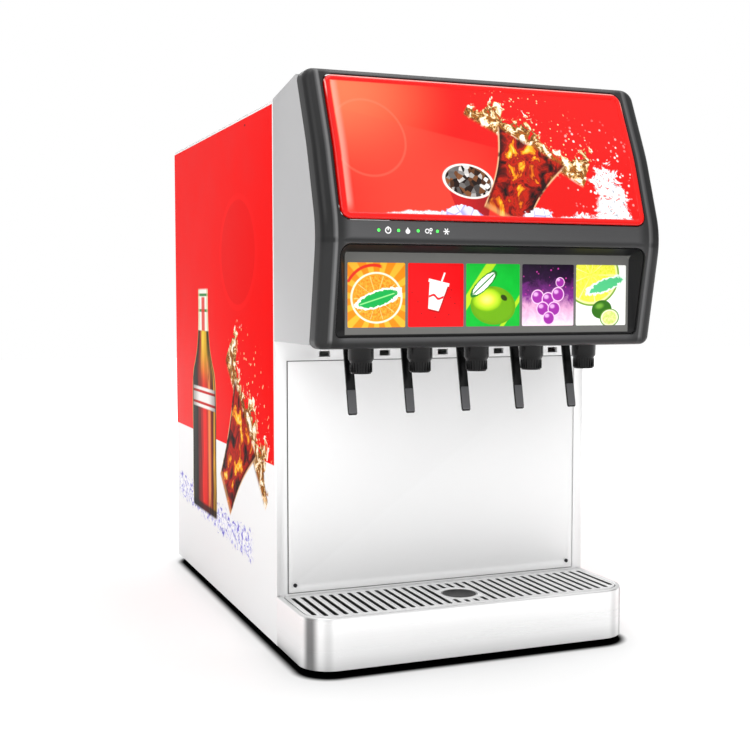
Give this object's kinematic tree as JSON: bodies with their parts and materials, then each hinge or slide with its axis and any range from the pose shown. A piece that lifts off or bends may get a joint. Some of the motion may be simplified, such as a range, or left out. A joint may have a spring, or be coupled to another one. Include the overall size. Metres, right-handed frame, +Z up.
{
  "type": "fountain soda dispenser",
  "caption": "Countertop post-mix soda dispenser with a lit front panel, flavour cards, cup-lever valves, nozzles and a slotted drip tray.",
  "frame": {"origin": "on the counter, under the middle of the whole machine", "axes": "+X to the right as seen by the person filling a cup, +Y back into the cabinet, +Z up"},
  "size_m": [0.43, 0.747, 0.693],
  "materials": {
    "bright_steel": "brushed stainless steel",
    "galvanised": "galvanised sheet",
    "red_print": "white painted sheet with a red printed film",
    "white_paint": "satin white paint",
    "grey_shell": "satin light grey paint",
    "black_plastic": "semi-gloss moulded black",
    "card_tray_grey": "fine matt dark grey",
    "red_lens": "glossy printed acrylic",
    "card_print": "printed card behind gloss film",
    "lamp_green": "green status lamps on a small board",
    "dark_screw": "black oxide",
    "black_rubber": "matt",
    "copper": "bare copper tube",
    "aluminium": "mill finish",
    "black_enamel": "gloss black enamel",
    "tank_white": "moulded white",
    "brass": "machined"
  },
  "bodies": {
    "cabinet": {"base_pan": "galvanised", "left_side_panel": "red_print", "right_side_panel": "red_print", "rear_panel": "white_paint", "front_frame": "bright_steel", "splash_plate": "bright_steel", "splash_screw_left": "dark_screw", "splash_screw_right": "dark_screw", "head_housing": "grey_shell", "fascia_bezel": "black_plastic", "lightbox_lens": "red_lens", "light_board": "aluminium", "label_panel": "card_tray_grey", "indicator_board": "lamp_green", "valve_rail": "galvanised", "drip_tray": "bright_steel", "drain_pipe": "tank_white", "ice_bath_tank": "tank_white", "evaporator_coil": "copper", "carbonator_tank": "bright_steel", "agitator_motor": "black_enamel", "compressor": "black_enamel", "condenser": "aluminium", "fan_shroud": "black_plastic", "fan_motor": "black_enamel", "water_pump": "black_enamel", "control_box": "galvanised", "switch_frame": "black_plastic", "power_inlet": "black_plastic", "inlet_manifold": "brass", "flavour_card_1": "card_print", "valve_body_1": "black_plastic", "flavour_card_2": "card_print", "valve_body_2": "black_plastic", "flavour_card_3": "card_print", "valve_body_3": "black_plastic", "flavour_card_4": "card_print", "valve_body_4": "black_plastic", "flavour_card_5": "card_print", "valve_body_5": "black_plastic", "foot_1": "black_rubber", "foot_2": "black_rubber", "foot_3": "black_rubber", "foot_4": "black_rubber"},
    "lever_1": {"lever_1": "black_plastic"},
    "nozzle_1": {"nozzle_1": "black_plastic"},
    "lever_2": {"lever_2": "black_plastic"},
    "nozzle_2": {"nozzle_2": "black_plastic"},
    "lever_3": {"lever_3": "black_plastic"},
    "nozzle_3": {"nozzle_3": "black_plastic"},
    "lever_4": {"lever_4": "black_plastic"},
    "nozzle_4": {"nozzle_4": "black_plastic"},
    "lever_5": {"lever_5": "black_plastic"},
    "nozzle_5": {"nozzle_5": "black_plastic"},
    "grille": {"drip_grille": "bright_steel"},
    "strainer": {"drain_strainer": "black_plastic"},
    "cover": {"top_cover": "white_paint"},
    "fan": {"condenser_fan": "aluminium"},
    "stirrer": {"agitator_impeller": "bright_steel"},
    "rocker": {"power_switch": "black_plastic"}
  },
  "joints": [
    {"name": "lever_1_push", "type": "hinge", "parent": "cabinet", "child": "lever_1", "pos_m": [-0.147, -0.261, 0.398], "axis": [1, 0, 0], "range_deg": [0, 13], "stiffness_Nm_per_rad": 0.15, "springref_deg": -20.05},
    {"name": "nozzle_1_twist", "type": "hinge", "parent": "cabinet", "child": "nozzle_1", "pos_m": [-0.147, -0.31, 0.378], "axis": [0, 0, 1], "range_deg": [0, 40]},
    {"name": "lever_2_push", "type": "hinge", "parent": "cabinet", "child": "lever_2", "pos_m": [-0.0735, -0.261, 0.398], "axis": [1, 0, 0], "range_deg": [0, 13], "stiffness_Nm_per_rad": 0.15, "springref_deg": -20.05},
    {"name": "nozzle_2_twist", "type": "hinge", "parent": "cabinet", "child": "nozzle_2", "pos_m": [-0.0735, -0.31, 0.378], "axis": [0, 0, 1], "range_deg": [0, 40]},
    {"name": "lever_3_push", "type": "hinge", "parent": "cabinet", "child": "lever_3", "pos_m": [0, -0.261, 0.398], "axis": [1, 0, 0], "range_deg": [0, 13], "stiffness_Nm_per_rad": 0.15, "springref_deg": -20.05},
    {"name": "nozzle_3_twist", "type": "hinge", "parent": "cabinet", "child": "nozzle_3", "pos_m": [0, -0.31, 0.378], "axis": [0, 0, 1], "range_deg": [0, 40]},
    {"name": "lever_4_push", "type": "hinge", "parent": "cabinet", "child": "lever_4", "pos_m": [0.0735, -0.261, 0.398], "axis": [1, 0, 0], "range_deg": [0, 13], "stiffness_Nm_per_rad": 0.15, "springref_deg": -20.05},
    {"name": "nozzle_4_twist", "type": "hinge", "parent": "cabinet", "child": "nozzle_4", "pos_m": [0.0735, -0.31, 0.378], "axis": [0, 0, 1], "range_deg": [0, 40]},
    {"name": "lever_5_push", "type": "hinge", "parent": "cabinet", "child": "lever_5", "pos_m": [0.147, -0.261, 0.398], "axis": [1, 0, 0], "range_deg": [0, 13], "stiffness_Nm_per_rad": 0.15, "springref_deg": -20.05},
    {"name": "nozzle_5_twist", "type": "hinge", "parent": "cabinet", "child": "nozzle_5", "pos_m": [0.147, -0.31, 0.378], "axis": [0, 0, 1], "range_deg": [0, 40]},
    {"name": "grille_lift", "type": "slide", "parent": "cabinet", "child": "grille", "axis": [0, 0, 1], "range_m": [0, 0.05]},
    {"name": "strainer_lift", "type": "slide", "parent": "grille", "child": "strainer", "axis": [0, 0, 1], "range_m": [0, 0.03]},
    {"name": "cover_lift", "type": "slide", "parent": "cabinet", "child": "cover", "axis": [0, 0, 1], "range_m": [0, 0.12]},
    {"name": "fan_spin", "type": "hinge", "parent": "cabinet", "child": "fan", "pos_m": [0.112, 0.3159, 0.127], "axis": [0, 1, 0], "continuous": true},
    {"name": "stirrer_spin", "type": "hinge", "parent": "cabinet", "child": "stirrer", "pos_m": [0.055, -0.0145, 0.208], "axis": [0, 0, 1], "continuous": true},
    {"name": "rocker_press", "type": "hinge", "parent": "cabinet", "child": "rocker", "pos_m": [0, 0.3309, 0.314], "axis": [1, 0, 0], "range_deg": [0, 16]}
  ]
}
